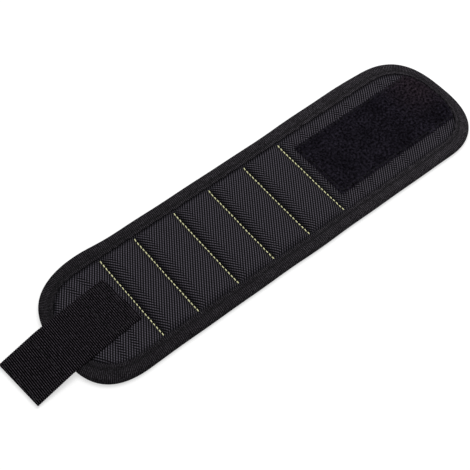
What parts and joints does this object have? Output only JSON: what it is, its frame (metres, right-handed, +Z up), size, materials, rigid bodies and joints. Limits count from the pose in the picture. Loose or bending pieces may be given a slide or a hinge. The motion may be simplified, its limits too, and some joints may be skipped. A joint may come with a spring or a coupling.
{
  "type": "magnetic wristband",
  "caption": "Padded fabric wristband with sewn pockets that hold disc magnets, rounded taped ends, a loop patch at one end and a webbing strap with a hook patch at the other.",
  "frame": {"origin": "on the table under the middle of the open band, strap and all", "axes": "+X along the band from the strap towards the loop end, +Y across it to its far edge, +Z up out of the face"},
  "size_m": [0.3612, 0.09, 0.0072],
  "materials": {
    "face_fabric": "woven ballistic nylon",
    "lining_mesh": "knitted mesh",
    "padding_foam": "open-cell foam",
    "edge_tape": "grosgrain tape",
    "loop_pile": "brushed loop pile",
    "webbing": "ribbed webbing",
    "hook_tape": "moulded hooks",
    "nickel": "nickel plate",
    "yellow_thread": "sewing thread",
    "black_thread": "sewing thread"
  },
  "bodies": {
    "strap_end": {"face_strap_end": "face_fabric", "padding_strap_end": "padding_foam", "lining_strap_end": "lining_mesh", "edge_tape_strap_end": "edge_tape", "strap_sewn": "webbing"},
    "pocket_1": {"face_pocket_1": "face_fabric", "padding_pocket_1": "padding_foam", "lining_pocket_1": "lining_mesh", "edge_tape_pocket_1_near": "edge_tape", "edge_tape_pocket_1_far": "edge_tape", "magnet_pocket_1_near": "nickel", "magnet_pocket_1_far": "nickel"},
    "pocket_2": {"face_pocket_2": "face_fabric", "padding_pocket_2": "padding_foam", "lining_pocket_2": "lining_mesh", "edge_tape_pocket_2_near": "edge_tape", "edge_tape_pocket_2_far": "edge_tape", "magnet_pocket_2_near": "nickel", "magnet_pocket_2_far": "nickel"},
    "pocket_3": {"face_pocket_3": "face_fabric", "padding_pocket_3": "padding_foam", "lining_pocket_3": "lining_mesh", "edge_tape_pocket_3_near": "edge_tape", "edge_tape_pocket_3_far": "edge_tape", "magnet_pocket_3_near": "nickel", "magnet_pocket_3_far": "nickel"},
    "pocket_4": {"face_pocket_4": "face_fabric", "padding_pocket_4": "padding_foam", "lining_pocket_4": "lining_mesh", "edge_tape_pocket_4_near": "edge_tape", "edge_tape_pocket_4_far": "edge_tape", "magnet_pocket_4_near": "nickel", "magnet_pocket_4_far": "nickel"},
    "pocket_5": {"face_pocket_5": "face_fabric", "padding_pocket_5": "padding_foam", "lining_pocket_5": "lining_mesh", "edge_tape_pocket_5_near": "edge_tape", "edge_tape_pocket_5_far": "edge_tape", "magnet_pocket_5_near": "nickel", "magnet_pocket_5_far": "nickel"},
    "loop_end_1": {"face_loop_end_1": "face_fabric", "padding_loop_end_1": "padding_foam", "lining_loop_end_1": "lining_mesh", "edge_tape_loop_end_1_near": "edge_tape", "edge_tape_loop_end_1_far": "edge_tape", "loop_patch_1": "loop_pile"},
    "loop_end_2": {"face_loop_end_2": "face_fabric", "padding_loop_end_2": "padding_foam", "lining_loop_end_2": "lining_mesh", "edge_tape_loop_end_2_near": "edge_tape", "edge_tape_loop_end_2_far": "edge_tape", "loop_patch_2": "loop_pile"},
    "loop_end_3": {"face_loop_end_3": "face_fabric", "padding_loop_end_3": "padding_foam", "lining_loop_end_3": "lining_mesh", "edge_tape_loop_end_3": "edge_tape", "loop_patch_3": "loop_pile"},
    "strap_free": {"strap_free": "webbing"},
    "strap_tip": {"strap_tip": "webbing", "hook_patch": "hook_tape"}
  },
  "joints": [
    {"name": "fold_3", "type": "hinge", "parent": "pocket_3", "child": "pocket_2", "pos_m": [-0.03341, 0, 0.0026], "axis": [0, -1, 0], "range_deg": [-15, 35]},
    {"name": "fold_2", "type": "hinge", "parent": "pocket_2", "child": "pocket_1", "pos_m": [-0.06541, 0, 0.0026], "axis": [0, -1, 0], "range_deg": [-15, 42]},
    {"name": "fold_1", "type": "hinge", "parent": "pocket_1", "child": "strap_end", "pos_m": [-0.09241, 0, 0.0026], "axis": [0, -1, 0], "range_deg": [-15, 51]},
    {"name": "fold_4", "type": "hinge", "parent": "pocket_3", "child": "pocket_4", "pos_m": [-0.00441, 0, 0.0026], "axis": [0, 1, 0], "range_deg": [-15, 33]},
    {"name": "fold_5", "type": "hinge", "parent": "pocket_4", "child": "pocket_5", "pos_m": [0.02559, 0, 0.0026], "axis": [0, 1, 0], "range_deg": [-15, 37]},
    {"name": "fold_6", "type": "hinge", "parent": "pocket_5", "child": "loop_end_1", "pos_m": [0.05559, 0, 0.0026], "axis": [0, 1, 0], "range_deg": [-15, 45]},
    {"name": "loop_fold_1", "type": "hinge", "parent": "loop_end_1", "child": "loop_end_2", "pos_m": [0.09359, 0, 0.0026], "axis": [0, 1, 0], "range_deg": [-8, 56]},
    {"name": "loop_fold_2", "type": "hinge", "parent": "loop_end_2", "child": "loop_end_3", "pos_m": [0.13159, 0, 0.0026], "axis": [0, 1, 0], "range_deg": [-8, 60]},
    {"name": "strap_lift", "type": "hinge", "parent": "strap_end", "child": "strap_free", "pos_m": [-0.1233, 0.00005, 0.007], "axis": [0.0941, -0.9956, 0], "range_deg": [-80, 0]},
    {"name": "strap_bend", "type": "hinge", "parent": "strap_free", "child": "strap_tip", "pos_m": [-0.15117, -0.00258, 0.0063], "axis": [0.0941, -0.9956, 0], "range_deg": [-55, 44]}
  ]
}
